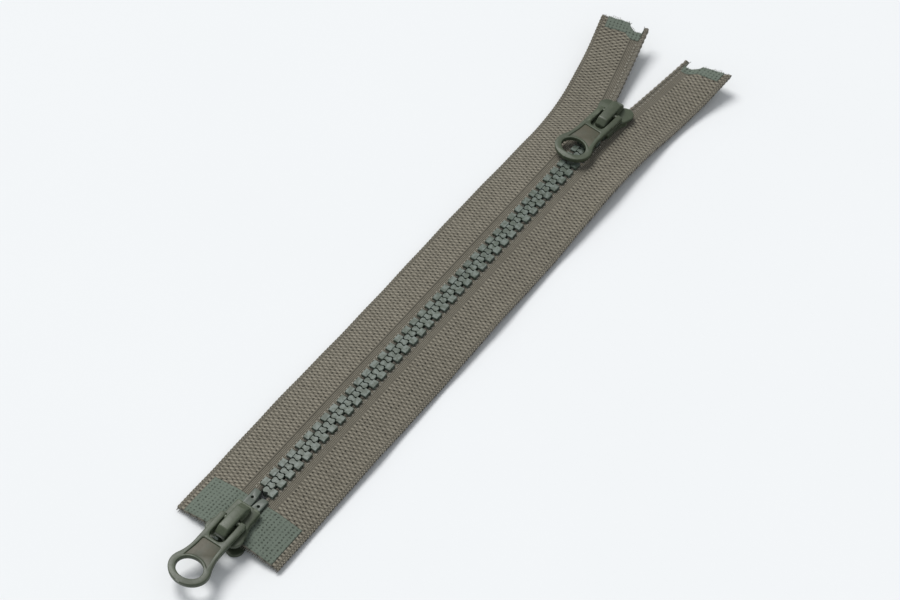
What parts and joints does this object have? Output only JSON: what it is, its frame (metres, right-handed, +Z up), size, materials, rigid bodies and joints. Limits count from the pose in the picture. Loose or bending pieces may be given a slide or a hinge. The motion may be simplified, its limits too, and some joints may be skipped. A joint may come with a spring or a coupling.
{
  "type": "two-way separating zipper",
  "caption": "Two-way separating zipper with moulded interlocking teeth on woven tapes, two lock sliders with ring pulls, end pins, stops and reinforced tape ends.",
  "frame": {"origin": "middle of the bottom slider's underside, on the plane that the zipper lies on", "axes": "+Y along the chain from the bottom end to the top end, +X to the right across the chain, +Z up through the front face"},
  "size_m": [0.0433, 0.2266, 0.0074],
  "materials": {
    "tape": "woven matte",
    "cord": "woven matte",
    "teeth": "satin moulded",
    "film": "laminated ribbon",
    "slider_paint": "satin paint",
    "spring_steel": "satin"
  },
  "bodies": {
    "chain_middle": {"left_tape_middle": "tape", "left_cord_middle": "cord", "left_teeth_middle": "teeth", "right_tape_middle": "tape", "right_cord_middle": "cord", "right_teeth_middle": "teeth"},
    "left_upper": {"left_tape_upper": "tape", "left_cord_upper": "cord", "left_teeth_upper": "teeth", "left_top_stop": "teeth", "left_top_film": "film"},
    "left_lower": {"left_tape_lower": "tape", "left_cord_lower": "cord", "left_teeth_lower": "teeth", "left_end_pin": "teeth", "left_bottom_film": "film"},
    "right_upper": {"right_tape_upper": "tape", "right_cord_upper": "cord", "right_teeth_upper": "teeth", "right_top_stop": "teeth", "right_top_film": "film"},
    "right_lower": {"right_tape_lower": "tape", "right_cord_lower": "cord", "right_teeth_lower": "teeth", "right_end_pin": "teeth", "right_bottom_film": "film"},
    "top_slider": {"top_slider_body": "slider_paint", "top_slider_crown": "slider_paint"},
    "top_pull": {"top_pull": "slider_paint"},
    "top_lock": {"top_lock_spring": "spring_steel"},
    "bottom_slider": {"bottom_slider_body": "slider_paint", "bottom_slider_crown": "slider_paint"},
    "bottom_pull": {"bottom_pull": "slider_paint"},
    "bottom_lock": {"bottom_lock_spring": "spring_steel"}
  },
  "joints": [
    {"name": "top_slide", "type": "slide", "parent": "chain_middle", "child": "top_slider", "axis": [0, 1, 0], "range_m": [-0.077, 0], "deforming": ["left_tape_upper", "left_cord_upper", "left_teeth_upper", "right_tape_upper", "right_cord_upper", "right_teeth_upper"]},
    {"name": "bottom_slide", "type": "slide", "parent": "chain_middle", "child": "bottom_slider", "axis": [0, 1, 0], "range_m": [0, 0.06], "deforming": ["left_tape_lower", "left_cord_lower", "left_teeth_lower", "right_tape_lower", "right_cord_lower", "right_teeth_lower", "left_end_pin", "right_end_pin"]},
    {"name": "left_upper_open", "type": "hinge", "parent": "chain_middle", "child": "left_upper", "pos_m": [-0.0018, 0.0851, 0.00245], "axis": [0, 0, 1], "range_deg": [0, 12.5]},
    {"name": "right_upper_open", "type": "hinge", "parent": "chain_middle", "child": "right_upper", "pos_m": [0.0018, 0.0851, 0.00245], "axis": [0, 0, 1], "range_deg": [-12.5, 0]},
    {"name": "left_lower_open", "type": "hinge", "parent": "chain_middle", "child": "left_lower", "pos_m": [-0.0018, 0.0671, 0.00245], "axis": [0, 0, 1], "range_deg": [-11.5, 0]},
    {"name": "right_lower_open", "type": "hinge", "parent": "chain_middle", "child": "right_lower", "pos_m": [0.0018, 0.0671, 0.00245], "axis": [0, 0, 1], "range_deg": [0, 11.5]},
    {"name": "top_pull_swing", "type": "hinge", "parent": "top_slider", "child": "top_pull", "pos_m": [0, 0.1697, 0.00585], "axis": [-0.9962, 0.0872, 0], "range_deg": [0, 165]},
    {"name": "bottom_pull_swing", "type": "hinge", "parent": "bottom_slider", "child": "bottom_pull", "pos_m": [0, -0.0004, 0.00585], "axis": [-1, 0, 0], "range_deg": [0, 165]},
    {"name": "top_lock_lift", "type": "hinge", "parent": "top_slider", "child": "top_lock", "pos_m": [0, 0.1729, 0.00661], "axis": [-1, 0, 0], "range_deg": [0, 2.6]},
    {"name": "bottom_lock_lift", "type": "hinge", "parent": "bottom_slider", "child": "bottom_lock", "pos_m": [0, -0.0036, 0.00661], "axis": [1, 0, 0], "range_deg": [0, 2.6]}
  ],
  "couplings": [
    {"joint": "left_upper_open", "follows": "top_slide", "rad_per_m": -2.72},
    {"joint": "right_upper_open", "follows": "top_slide", "rad_per_m": 2.72},
    {"joint": "left_lower_open", "follows": "bottom_slide", "rad_per_m": -3.1998},
    {"joint": "right_lower_open", "follows": "bottom_slide", "rad_per_m": 3.1998},
    {"joint": "top_lock_lift", "follows": "top_pull_swing", "ratio": 0.014545},
    {"joint": "bottom_lock_lift", "follows": "bottom_pull_swing", "ratio": 0.014545}
  ]
}
